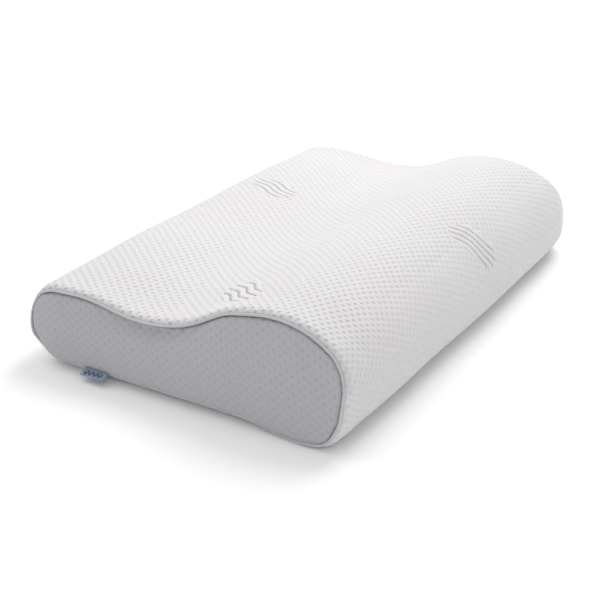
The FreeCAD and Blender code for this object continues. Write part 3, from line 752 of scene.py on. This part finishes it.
def make_slider(name):
    face, back = HALF + 0.4, slider_low[1]
    front_thick, back_thick = 1.3, 1.0
    notched = mirrored([(4.2, 0.7), (6, 2.6), (6, 4.5), (1, 4.5), (-6, 3.7)])
    shield = mirrored([(6, 4.5), (1, 4.5), (-6, 3.7)])
    post = [(5, 0), (3.4, 0.42), (2, 0), (3.4, -0.42)]
    wall = [(5.6, 3.75), (5.6, 4.45), (1, 4.45), (-5.6, 3.7), (-5.6, 3.0), (1, 3.75)]
    between = face - front_thick - back - back_thick

    def layer(outline, radius, steps, y, thick, bevel):
        return plate([rounded(outline, radius, steps)], (SLIDER_X, y, ZIP_Z), thick, bevel)

    parts = [layer(notched, 0.5, 4, face - front_thick / 2, front_thick, 0.3),
             layer(shield, 1.5, 5, back + back_thick / 2, back_thick, 0.25),
             layer(post, 0.2, 3, face - front_thick - between / 2, between + 0.4, 0.05)]
    for sign in (-1, 1):
        flange = [(x, z * sign) for x, z in wall][::sign]
        parts.append(layer(flange, 0.2, 3, face - 1.9, 1.9, 0.12))
    # the bridge that holds the pull tab: (x, height over the face)
    rising = [(-3.5, -0.6), (-3.5, 1.1), (-3.1, 1.95), (-2.2, 2.45)]
    arch = np.array(rising + [(0, 2.62)] + [(-x, y) for x, y in reversed(rising)])
    t, along = np.linspace(0, 1, 33), np.linspace(0, 1, len(arch))
    centres = np.stack([SLIDER_X + np.interp(t, along, arch[:, 0]), face + np.interp(t, along, arch[:, 1]),
                        np.full(len(t), ZIP_Z)], 1)
    points, faces = tube(centres, 0.52, 10, False, (0, 0, 1.0))
    points[:, 2] = ZIP_Z + (points[:, 2] - ZIP_Z) * 1.5
    return joined(name, parts + [(points, faces)])


def make_pull(name):
    low, high = span("zip_pull")
    middle = (SLIDER_X, (low[1] + high[1]) / 2, ZIP_Z)
    tip = low[0] - SLIDER_X
    tab = mirrored([(0.6, 2.9), (-1, 3.4), (-7.2, 3.2), (-10, 2.4), (tip + 6, 3.5), (tip, 2.6)])
    pad = mirrored([(-11.5, 1.3), (tip + 6, 2.4), (tip + 1.6, 1.8)])
    parts = [plate([rounded(tab, 1.3, 4), rounded(bar(-0.6, -5.9, 2.0), 1.0)], middle, 1.15, 0.3),
             plate([rounded(pad, 0.9, 4)], middle, 1.6, 0.22)]
    for k in range(5):
        ridge = tip + 3.2 + 1.7 * k
        parts.append(plate([rounded(bar(ridge - 0.3, ridge + 0.3, 1.5), 0.25, 3)], middle, 1.95, 0.15))
    return joined(name, parts)


def make_stops(name, node, two):
    """Crimped blocks: one on each lip's coil, or a single one over both."""
    low, high = span(node)
    x, y, _ = (low + high) / 2
    long, deep, tall = (high - low) / 2
    parts = []
    for z, half in [(ZIP_Z - 1.85, 1.2), (ZIP_Z + 1.85, 1.2)] if two else [(ZIP_Z, tall)]:
        parts += [plate([rounded(bar(-long, long, half), 0.5)], (x, y, z), 2 * deep, 0.3),
                  plate([rounded(bar(-0.25, 0.25, half - 0.3), 0.2, 3)], (x, y, z), 2 * deep + 0.3, 0.15)]
    return joined(name, parts)


def make_zip_stitching(name, slack):
    """The rows of stitches along the zip's two hems and the bar tacks at its ends."""
    # of each thread: x and s at its two ends, its height, and the s whose normal it is arched along
    threads = []
    for sign in (1, -1):
        row = sign * (SLOT_HALF + 2.4)
        threads += [(x, row, x + 2.5, row, 0.12, row) for x in np.arange(-196, 196, 3.1)]
    for side in (-1, 1):
        for k in range(9):
            x = side * (SLOT + 1.5 + 0.42 * k)
            reach = 5.2 + 0.5 * (k % 2)
            threads += [(x, 0.3 * sign, x, reach * sign, 0.15, 3.0 * sign) for sign in (1, -1)]
    t = np.linspace(0, 1, 7)
    arch = 0.42 * (np.sin(math.pi * t) ** 0.6 - 0.75)
    radius = 0.2 * (0.75 + 0.25 * np.sin(math.pi * t))
    parts = []
    for x0, s0, x1, s1, height, arch_s in threads:
        start, end = cover_point(np.array([x0, x1]), np.array([s0, s1]), height, slack)
        up = np.array([0, *section(arch_s)[2:]])
        parts.append(tube(start + (end - start) * t[:, None] + up * arch[:, None], radius, 6, False, up))
    points, faces = gathered(parts)
    return new_object(name, points, faces, knit=(points[:, 0] / 0.8, points[:, 2] / 0.8))


# ---- labels ---------------------------------------------------------------------------

def ribbon(name, points, thick, uv, flip=True):
    """A strip of ribbon: a grid of points, given its thickness on both sides."""
    thing = new_object(name, points, grid_faces(*points.shape[:2], flip=flip), knit=uv)
    solid = thing.modifiers.new("thickness", "SOLIDIFY")
    solid.thickness, solid.offset = thick * MM, 0.0
    return thing


def make_tag(name):
    """A short ribbon folded in half, its two ends sewn into the lower seam of the left end."""
    low, high = span("woven_tag")
    root_x, root_z = -(BASE - LEAN * 8.6) + 2.0, 8.7
    drop, apart = 9.4, 0.26     # length of the folded ribbon, and from its middle to a layer
    slope = math.radians(15)
    there, fold = np.linspace(0, 1, 14), np.radians(np.linspace(90, -90, 9)[1:-1])
    back = there[::-1]
    path = np.hstack([(drop * there, apart + 0.16 * np.sin(math.pi * there)),
                      (drop + 0.28 * np.cos(fold), apart * np.sin(fold)),
                      (drop * back, -apart - 0.10 * np.sin(math.pi * back))]).T
    length = np.concatenate([[0], np.cumsum(np.hypot(*np.diff(path, axis=0).T))])
    along, up, length = path[:, :1], path[:, 1:], length[:, None]
    y = np.linspace(low[1] + 0.2, high[1] - 0.2, 20)
    share = np.clip(along / drop, 0, 1)
    wave = share * (0.35 * np.sin((y - low[1]) / 25 * 5.0 + 0.6) + 0.25)
    points = np.stack(np.broadcast_arrays(
        root_x - along * math.cos(slope), y - 1.2 * share,
        root_z - along * math.sin(slope) + up + wave - 0.3 * share ** 2), -1)
    return ribbon(name, points, 0.26, (y - low[1], length))


def make_care_label(name, slack):
    """A blank satin ribbon sewn under the lower hem of the zip, its end free."""
    low, high = span("care_label")
    x = np.linspace(low[0], high[0], 22)
    t = np.linspace(7.5, 44.5, 40)
    tt, xx = np.meshgrid(t, x, indexing="ij")
    share = np.clip((tt - 12) / 32, 0, 1)
    lift = -0.9 + 1.35 * smooth(tt, 8, 10.5)
    lift += share ** 2 * (0.5 + 0.45 * np.sin((xx - low[0]) / 24 * 4.2 + 0.8))
    lift += 0.18 * np.sin(tt * 0.35 + xx * 0.12) * smooth(tt, 11, 20)
    points = cover_point(xx, AROUND - tt, lift, slack)
    return ribbon(name, points, 0.2, (xx - low[0], tt), flip=False)


# ---- materials ------------------------------------------------------------------------

class Shade:
    """A node material built from short calls.  With sunk, its bumps go in instead of out."""

    def __init__(self, name, roughness, sunk=False, **constants):
        self.sunk = sunk
        self.material = bpy.data.materials.new(name)
        self.material.use_nodes = True
        self.tree = self.material.node_tree
        self.tree.nodes.clear()
        self.out = self.tree.nodes.new("ShaderNodeOutputMaterial")
        self.shader = self.tree.nodes.new("ShaderNodeBsdfPrincipled")
        self.tree.links.new(self.shader.outputs[0], self.out.inputs[0])
        self.shader.inputs["Roughness"].default_value = roughness
        for key, value in constants.items():
            self.shader.inputs[key.replace("_", " ")].default_value = value

    def add(self, kind, inputs=(), **settings):
        node = self.tree.nodes.new("ShaderNode" + kind)
        for key, value in settings.items():
            setattr(node, key, value)
        for key, value in dict(inputs).items():
            self.put(node.inputs[key], value)
        return node

    def put(self, socket, value):
        if isinstance(value, bpy.types.NodeSocket):
            self.tree.links.new(value, socket)
        else:
            socket.default_value = value

    def math(self, operation, *values):
        node = self.add("Math", operation=operation)
        for socket, value in zip(node.inputs, values):
            self.put(socket, value)
        return node.outputs[0]

    def times(self, *values):
        return self.math("MULTIPLY", *values)

    def minus(self, *values):
        return self.math("SUBTRACT", *values)

    def wave(self, value, rate):
        return self.math("SINE", self.times(value, rate))

    def apart(self, *values):
        return self.math("ABSOLUTE", self.minus(*values))

    def vector(self, operation, *values):
        node = self.add("VectorMath", operation=operation)
        for socket, value in zip(node.inputs, values):
            self.put(socket, value)
        return node.outputs["Value" if operation == "LENGTH" else "Vector"]

    def uv(self, layer):
        return self.add("UVMap", uv_map=layer).outputs[0]

    def split(self, vector):
        return self.add("SeparateXYZ", {"Vector": vector}).outputs[:3]

    def place(self):
        return self.add("TexCoord").outputs["Object"]

    def noise(self, vector, scale, detail=3.0, rough=0.55):
        return self.add("TexNoise", {"Vector": vector, "Scale": scale, "Detail": detail,
                                     "Roughness": rough}).outputs[0]

    def ramp(self, value, low, high, to_low=0.0, to_high=1.0, kind="SMOOTHSTEP"):
        node = self.add("MapRange", {"Value": value}, interpolation_type=kind)
        for socket, number in zip(node.inputs[1:5], (low, high, to_low, to_high)):
            socket.default_value = number
        return node.outputs[0]

    def mix(self, share, a, b):
        node = self.add("Mix", data_type="RGBA")
        for socket, value in zip((node.inputs[0], node.inputs[6], node.inputs[7]), (share, a, b)):
            if isinstance(value, tuple):
                value = (*value, 1.0)[:4]
            self.put(socket, value)
        return node.outputs[2]

    def tint(self, color, other, share, most):
        """color, turned towards other by most where share is 1."""
        return self.mix(self.times(share, most), color, other)

    def patchy(self, scale, light, dark):
        """Slow noise, and a colour that changes with it."""
        patch = self.noise(self.place(), scale)
        return patch, self.mix(self.ramp(patch, 0.3, 0.7), light, dark)

    def bump(self, height, strength, distance, normal=None):
        node = self.add("Bump", {"Height": height}, invert=self.sunk)
        node.inputs["Strength"].default_value = strength
        node.inputs["Distance"].default_value = distance * MM
        if normal is not None:
            self.put(node.inputs["Normal"], normal)
        return node.outputs[0]

    def finish(self, color, normal=None, patch=None, low=0.0, high=1.0, patch_from=0.2, patch_to=0.8):
        """Set the shader's colour, its normal, and a roughness between low and high as patch goes."""
        self.put(self.shader.inputs["Base Color"], color)
        if normal is not None:
            self.put(self.shader.inputs["Normal"], normal)
        if patch is not None:
            rough = self.ramp(patch, patch_from, patch_to, low, high, "LINEAR")
            self.put(self.shader.inputs["Roughness"], rough)
        return self.material


def dimple_distance(shade, uv):
    """Distance to the nearest dimple, in millimetres."""
    def to_set(shift):
        cell = shade.vector("FRACTION", shade.vector("ADD", uv, (shift, shift, 0)))
        cell = shade.vector("SUBTRACT", cell, (0.5, 0.5, 0))
        return shade.vector("LENGTH", shade.vector("MULTIPLY", cell, (PITCH_X, PITCH_S, 0)))
    return shade.math("MINIMUM", to_set(0.5), to_set(0.0))


def knit_material(name, light, dark, tint, pit_shade_color, pit_shade_share, depth, motif):
    # sunk, because the mesh has the dimples' full depth and this softens them
    shade = Shade(name, 0.9, True, Sheen_Weight=0.12, Sheen_Roughness=0.45, Specular_IOR_Level=0.25)
    uv = shade.uv("knit")
    near = dimple_distance(shade, uv)
    pit = shade.ramp(near, 0.2, 1.5, 1.0, 0.0)
    crown = shade.ramp(near, 1.0, 3.4, 0.0, 1.0)
    u, v, _ = shade.split(uv)
    # rows of knitted loops, eight by seven to a dimple
    loops = shade.times(shade.wave(u, 2 * math.pi * 8), shade.wave(v, 2 * math.pi * 7))
    fuzz = shade.noise(shade.place(), 900.0, 2.0)
    patch = shade.noise(shade.place(), 9.0, 2.0)
    wide = shade.noise(shade.place(), 4.0, 1.0)
    if motif:
        u, v, _ = shade.split(shade.uv("motif"))
        rim = shade.split(shade.uv("rim"))[0]
        outside = shade.ramp(rim, 0.82, 1.05)
        crown = shade.times(crown, outside)
        # down the high lobe's side the dimples are shallower and their painted shade fainter
        flatter = shade.ramp(shade.split(shade.place())[1], -0.156, -0.12, 0.4, 1.0)
        pit = shade.times(shade.times(pit, outside), flatter)
        # the oval's ripples, as in ripples(), each a chain of long stitches
        lane = shade.math("ADD", shade.times(u, 2.5), shade.times(shade.wave(v, 5.0), 0.22))
        line = shade.ramp(shade.apart(shade.math("FRACT", lane), 0.5), 0.05, 0.22, 1.0, 0.0)
        chain = shade.ramp(shade.wave(v, 62.0), -1.1, 0.1)
        ripple = shade.times(shade.times(line, shade.ramp(rim, 0.85, 1.0, 1.0, 0.0)), chain)
    color = shade.mix(shade.ramp(patch, 0.38, 0.64), light, tint)
    color = shade.tint(color, dark, shade.ramp(wide, 0.35, 0.7), 0.5)
    color = shade.tint(color, dark, shade.ramp(fuzz, 0.35, 0.75), 0.10)
    # the dimples are painted darker: partly the denser yarn in them, partly painted shade in the hollows
    color = shade.tint(color, pit_shade_color, pit, pit_shade_share)
    height = shade.minus(shade.times(crown, 0.6), pit)
    if motif:
        # the ripples' grooves get the same darkening: painted shade in the grooves
        color = shade.tint(color, pit_shade_color, ripple, 0.5)
        height = shade.minus(height, shade.times(ripple, 1.2))
    normal = shade.bump(fuzz, 0.25, 0.12)
    normal = shade.bump(loops, 0.35, 0.12, normal)
    normal = shade.bump(height, 1.0, depth, normal)
    return shade.finish(color, normal, patch, 0.82, 0.96)


def thread_material(name, light, dark, roughness, lines, pitch, sunk=True):
    """Woven or rolled yarn, its lines across the direction lines in the piece's uv."""
    shade = Shade(name, roughness, sunk, Sheen_Weight=0.15, Sheen_Roughness=0.4, Specular_IOR_Level=0.3)
    u, v, _ = shade.split(shade.uv("knit"))
    total = shade.math("ADD", shade.times(u, lines[0]), shade.times(v, lines[1]))
    wave = shade.wave(total, 2 * math.pi / pitch)
    fuzz = shade.noise(shade.place(), 1500.0, 2.0)
    patch = shade.noise(shade.place(), 25.0, 2.0)
    color = shade.tint(shade.mix(shade.ramp(wave, -1, 1), dark, light), dark, patch, 0.3)
    normal = shade.bump(wave, 0.6, 0.12, shade.bump(fuzz, 0.3, 0.08))
    return shade.finish(color, normal, patch, roughness - 0.06, roughness + 0.08)


def satin_material():
    shade = Shade("satin_ribbon", 0.42, Sheen_Weight=0.2, Sheen_Roughness=0.3, Specular_IOR_Level=0.5,
                  Anisotropic=0.4)
    u, v, _ = shade.split(shade.uv("knit"))
    warp, weft = shade.wave(u, 2 * math.pi / 0.35), shade.wave(v, 2 * math.pi / 1.1)
    patch, color = shade.patchy(60.0, (0.90, 0.90, 0.89), (0.84, 0.84, 0.83))
    color = shade.tint(color, (0.66, 0.66, 0.66), shade.ramp(shade.apart(u, 12.0), 10.6, 11.2), 0.35)
    normal = shade.bump(shade.math("ADD", warp, shade.times(weft, 0.5)), 0.3, 0.06)
    return shade.finish(color, normal, patch, 0.36, 0.5)


def tag_material():
    """Blue-grey ribbon with a woven dark border line and a row of plain peaks."""
    shade = Shade("woven_ribbon", 0.7, Sheen_Weight=0.15, Sheen_Roughness=0.4, Specular_IOR_Level=0.3)
    u, v, _ = shade.split(shade.uv("knit"))
    warp, weft = shade.wave(u, 2 * math.pi / 0.45), shade.wave(v, 2 * math.pi / 0.45)
    # peaks: a band whose height rises and falls along the ribbon, on the upper layer only
    rise = shade.math("PINGPONG", shade.math("ADD", u, 1.0), 2.4)
    middle = shade.math("ADD", shade.times(rise, 1.15), 4.6)
    band = shade.ramp(shade.apart(v, middle), 1.5, 1.8, 1.0, 0.0)
    inside = shade.ramp(shade.apart(u, 12.8), 9.2, 9.6, 1.0, 0.0)
    border = shade.ramp(shade.apart(v, 3.2), 0.25, 0.45, 1.0, 0.0)
    marks = shade.times(shade.math("MAXIMUM", band, border), inside)
    patch, color = shade.patchy(120.0, (0.27, 0.35, 0.41), (0.21, 0.29, 0.35))
    color = shade.tint(color, (0.02, 0.06, 0.14), marks, 0.95)
    color = shade.tint(color, (0.75, 0.80, 0.84), shade.ramp(warp, 0, 1), 0.15)
    return shade.finish(color, shade.bump(shade.times(warp, weft), 0.5, 0.08), patch, 0.62, 0.78)


def foam_material():
    shade = Shade("foam", 0.95, Specular_IOR_Level=0.15)
    cells = shade.add("TexVoronoi", {"Vector": shade.place(), "Scale": 900.0})
    pores = shade.ramp(cells.outputs["Distance"], 0.1, 0.55, 1.0, 0.0)
    patch, color = shade.patchy(14.0, (0.90, 0.84, 0.68), (0.86, 0.78, 0.60))
    # the pores are painted darker: painted shade in the pores
    color = shade.tint(color, (0.62, 0.54, 0.38), pores, 0.3)
    return shade.finish(color, shade.bump(shade.minus(1.0, pores), 0.5, 0.3), patch, 0.88, 0.98)


def metal_material():
    shade = Shade("zip_metal", 0.32, Metallic=0.85, Specular_IOR_Level=0.5)
    scratch = shade.noise(shade.vector("MULTIPLY", shade.place(), (300.0, 2200.0, 2200.0)), 1.0)
    wear = shade.ramp(scratch, 0.55, 0.75)
    _, color = shade.patchy(180.0, (0.72, 0.72, 0.73), (0.62, 0.62, 0.64))
    color = shade.tint(color, (0.85, 0.85, 0.84), wear, 0.4)
    return shade.finish(color, shade.bump(scratch, 0.15, 0.03), wear, 0.28, 0.45, 0, 1)


def coil_material():
    shade = Shade("zip_coil", 0.35, True, Specular_IOR_Level=0.5)
    patch, color = shade.patchy(90.0, (0.80, 0.80, 0.80), (0.72, 0.72, 0.73))
    fine = shade.noise(shade.place(), 2500.0)
    return shade.finish(color, shade.bump(fine, 0.2, 0.03), patch, 0.28, 0.42)


WHITE = knit_material("white_knit", (0.70, 0.698, 0.698), (0.65, 0.65, 0.653), (0.715, 0.685, 0.69),
                      (0.30, 0.29, 0.30), 0.27, 0.85, True)
UNDER = knit_material("white_knit_plain", (0.70, 0.698, 0.698), (0.65, 0.65, 0.653), (0.71, 0.695, 0.695),
                      (0.34, 0.33, 0.34), 0.22, 0.6, False)
GREY = knit_material("grey_knit", (0.475, 0.469, 0.496), (0.44, 0.434, 0.462), (0.468, 0.46, 0.486),
                     (0.24, 0.235, 0.25), 0.1, 0.45, False)
PIPING = thread_material("piping_knit", (0.62, 0.615, 0.635), (0.52, 0.515, 0.535), 0.8, (1, 0.6), 0.5)
JERSEY = thread_material("liner_jersey", (0.86, 0.86, 0.84), (0.76, 0.76, 0.74), 0.85, (8, 0), 1.0)
TAPE = thread_material("zip_tape", (0.84, 0.84, 0.84), (0.68, 0.68, 0.69), 0.75, (1, 1), 0.5, False)
THREAD = thread_material("sewing_thread", (0.88, 0.88, 0.88), (0.70, 0.70, 0.70), 0.6, (1, 0.7), 0.6)
METAL = metal_material()
COIL = coil_material()


# ---- the pieces -----------------------------------------------------------------------

def dress(thing, material, slot, body, *nodes):
    thing.data.materials.clear()
    thing.data.materials.append(material)
    if nodes:
        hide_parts(*nodes)
    if body:
        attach(thing, body)
    return thing


slack, bulge = cloth_fields()

foam = dress(make_body("foam_core_body", FOAM_DEPTH, 5, ZIP_HOLLOW), foam_material(), "foam", "root",
             "foam_core")
liner = dress(make_body("inner_liner_jersey", LINER_DEPTH, 4, ZIP_HOLLOW), JERSEY, "liner_jersey", "root",
              "inner_liner")
wrap = dress(make_cover("cover_top_knit", 0.0, S_UNDER, 1.05, slack), WHITE, "white_knit", "root",
             "cover_top")
underside = dress(make_cover("cover_underside_knit", AROUND, S_UNDER, 0.5, slack), UNDER, "white_knit",
                  "root", "cover_underside")
for side, word in ((-1, "left"), (1, "right")):
    panel = dress(make_end_panel(f"end_panel_{word}_knit", side, bulge), GREY, "grey_knit", "root",
                  f"end_panel_{word}")
    dress(make_piping(f"piping_{word}_roll", side), PIPING, "piping", "root", f"piping_{word}")

for lip, upper in (("upper", True), ("lower", False)):
    for side, word in ((-1, "left"), (1, "right")):
        for kind, maker, material in (("tape", make_tape, TAPE), ("coil", make_coil, COIL)):
            half = maker(f"zip_{kind}_{lip}_{word}", upper, side)
            dress(half, material, f"zip_{kind}", None, f"zip_{kind}_{lip}")
            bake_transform(half)

dress(make_slider("zip_slider_body"), METAL, "zip_metal", "zip_slider", "zip_slider")
dress(make_pull("zip_pull_tab"), METAL, "zip_metal", "zip_pull", "zip_pull")
dress(make_stops("zip_top_stops_pair", "zip_top_stops", True), METAL, "zip_metal", "root", "zip_top_stops")
dress(make_stops("zip_bottom_stop_clip", "zip_bottom_stop", False), METAL, "zip_metal", "root",
      "zip_bottom_stop")
dress(make_zip_stitching("zip_hem_stitching", slack), THREAD, "white_knit", "root")

tag = dress(make_tag("woven_tag_ribbon"), tag_material(), "woven_ribbon", "root", "woven_tag")
label = dress(make_care_label("care_label_ribbon", slack), satin_material(), "satin_ribbon", "root",
              "care_label")


# ---- floor, light and camera ----------------------------------------------------------

def make_floor():
    points = [(-6000, -6000, 0), (6000, -6000, 0), (6000, 6000, 0), (-6000, 6000, 0)]
    floor = new_object("floor", points, [(0, 1, 2, 3)])
    shade = Shade("pale_floor", 0.95, Specular_IOR_Level=0.0)
    tone = shade.noise(shade.place(), 1.5, 1.0)
    floor.data.materials.append(shade.finish(shade.mix(tone, (0.97, 0.97, 0.97), (0.985, 0.985, 0.985))))


def aim(thing, back):
    """Point a light or the camera away from back."""
    thing.rotation_mode = "QUATERNION"
    thing.rotation_quaternion = (-back).to_track_quat("-Z", "Y")


def area_light(name, place_m, power):
    """A large soft disk aimed at the pillow."""
    light = bpy.data.lights.new(name, "AREA")
    light.shape, light.size, light.energy = "DISK", 1.6, power
    thing = add_object(name, light)
    thing.location = place_m
    aim(thing, Vector(place_m))


def make_light():
    world = bpy.data.worlds.new("studio")
    world.use_nodes = True
    background = world.node_tree.nodes["Background"]
    background.inputs[0].default_value = (1.0, 1.0, 1.0, 1.0)
    background.inputs[1].default_value = 0.70
    scene.world = world
    area_light("key", (1.54, 0.0, 1.84), 36)
    area_light("fill", (0.0, 1.54, 1.84), 11)
    scene.view_settings.view_transform = "Standard"


def make_camera():
    azimuth, elevation = math.radians(-59.12), math.radians(25.0)
    data = bpy.data.cameras.new("camera")
    data.lens, data.sensor_width = 70.98, 36.0
    data.clip_start, data.clip_end = 0.05, 50.0
    camera = add_object("camera", data)
    camera.location = (-0.887, -0.506, 0.472)
    aim(camera, Vector((math.sin(azimuth) * math.cos(elevation), -math.cos(azimuth) * math.cos(elevation),
                        math.sin(elevation))))
    scene.camera = camera


make_floor()
make_light()
make_camera()
